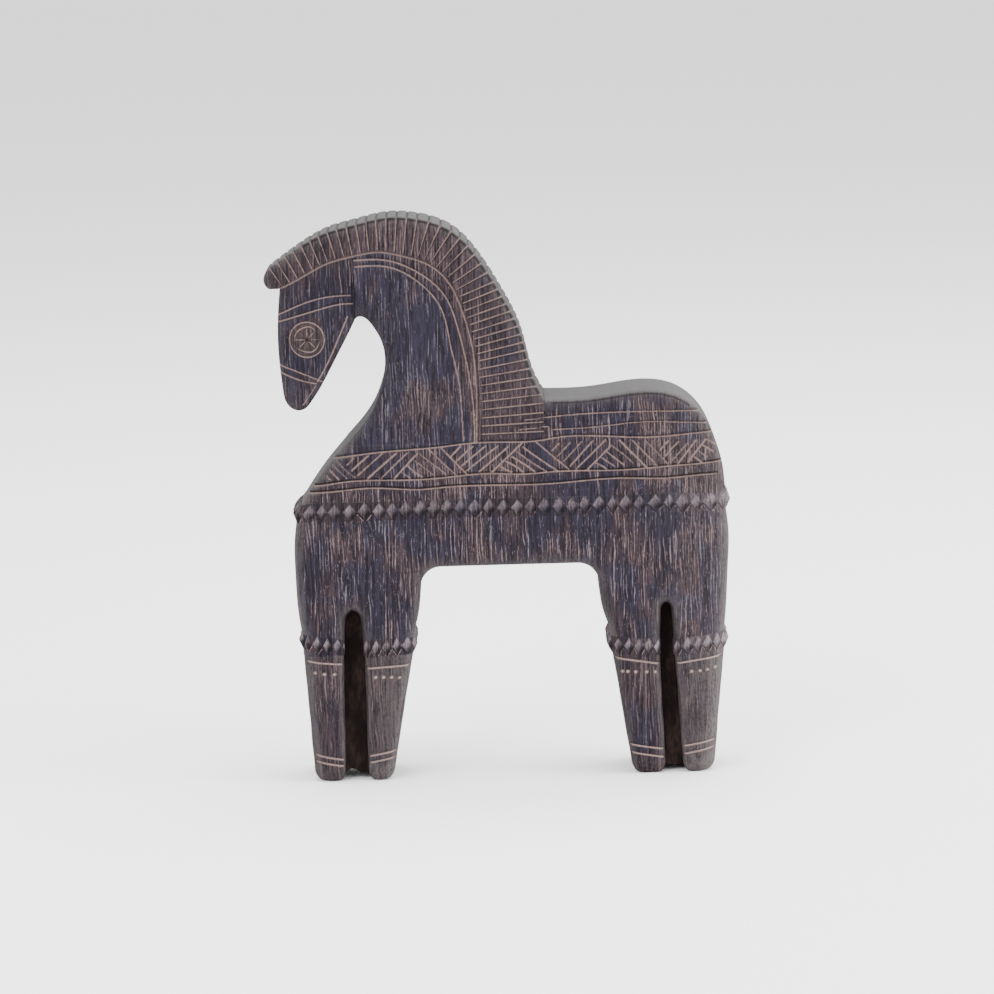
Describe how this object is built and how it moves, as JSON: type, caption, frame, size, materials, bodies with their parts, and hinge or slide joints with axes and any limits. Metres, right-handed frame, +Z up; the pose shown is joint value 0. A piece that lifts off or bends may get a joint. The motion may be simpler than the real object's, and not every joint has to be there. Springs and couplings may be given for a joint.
{
  "type": "ornamental clay horse",
  "caption": "Flat-sided standing clay horse with bent head, arched ribbed mane, beaded ropes round body and knees, and short split legs.",
  "frame": {"origin": "centre of the overall length and width, on the floor plane that the four hooves stand on", "axes": "+Z up, -X the way the horse faces, -Y its near side"},
  "size_m": [0.309, 0.0732, 0.3802],
  "materials": {
    "combed_clay": "dark indigo-brown slip, combed so that pale clay shows in the scratches, satin",
    "beaded_rope_clay": "dark slip rubbed back on the tips of the beads, satin",
    "eye_clay": "browner slip with pressed rings and rays, satin",
    "slot_clay": "matt brown-black clay of the recessed walls between the legs"
  },
  "bodies": {
    "root": {"back": "combed_clay", "belly": "combed_clay", "far_eye": "eye_clay", "fore_quarter": "combed_clay", "fore_web": "slot_clay", "foreleg_front_knee_rope": "beaded_rope_clay", "foreleg_front_shank": "combed_clay", "foreleg_rear_knee_rope": "beaded_rope_clay", "foreleg_rear_shank": "combed_clay", "girth_rope": "beaded_rope_clay", "head": "combed_clay", "hind_quarter": "combed_clay", "hind_web": "slot_clay", "hindleg_front_knee_rope": "beaded_rope_clay", "hindleg_front_shank": "combed_clay", "hindleg_rear_knee_rope": "beaded_rope_clay", "hindleg_rear_shank": "combed_clay", "mane": "combed_clay", "near_eye": "eye_clay", "neck": "combed_clay"}
  },
  "joints": []
}
